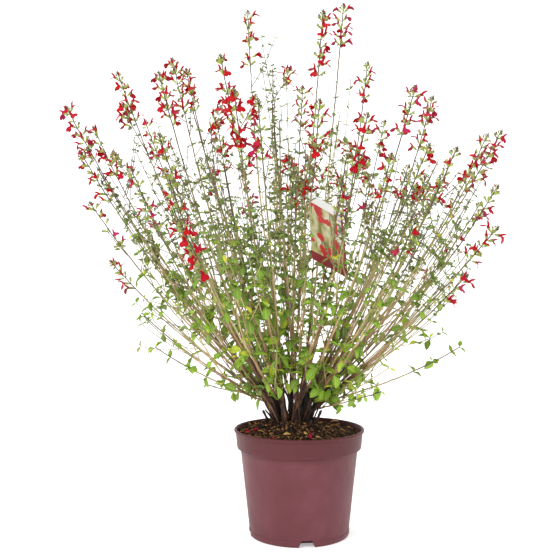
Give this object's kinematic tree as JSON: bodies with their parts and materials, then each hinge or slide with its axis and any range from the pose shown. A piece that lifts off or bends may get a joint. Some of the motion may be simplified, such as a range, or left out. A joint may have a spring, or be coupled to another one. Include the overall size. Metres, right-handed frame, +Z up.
{
  "type": "perennial salvia",
  "caption": "Red-flowered perennial salvia in a tapered plastic nursery pot: woody stools forked into leafy shoots with flower spikes, soil and a blank hang label.",
  "frame": {"origin": "centre of the pot's flat underside, on the surface it stands on", "axes": "+Z up along the pot's axis, -Y towards the front"},
  "size_m": [0.6363, 0.4708, 0.7894],
  "materials": {
    "pot_plastic": "satin maroon",
    "soil_mix": "dark crumbly potting mix",
    "label_card": "printed plastic card",
    "plant": "stems, leaves and florets"
  },
  "bodies": {
    "root": {"pot": "pot_plastic", "soil": "soil_mix", "label": "label_card", "stool_01": "plant", "stool_02": "plant", "stool_03": "plant", "stool_04": "plant", "stool_05": "plant", "stool_06": "plant", "stool_07": "plant", "stool_08": "plant", "stool_09": "plant", "stool_10": "plant", "stool_11": "plant", "stool_12": "plant", "stool_13": "plant", "stool_14": "plant", "stool_15": "plant"}
  },
  "joints": []
}
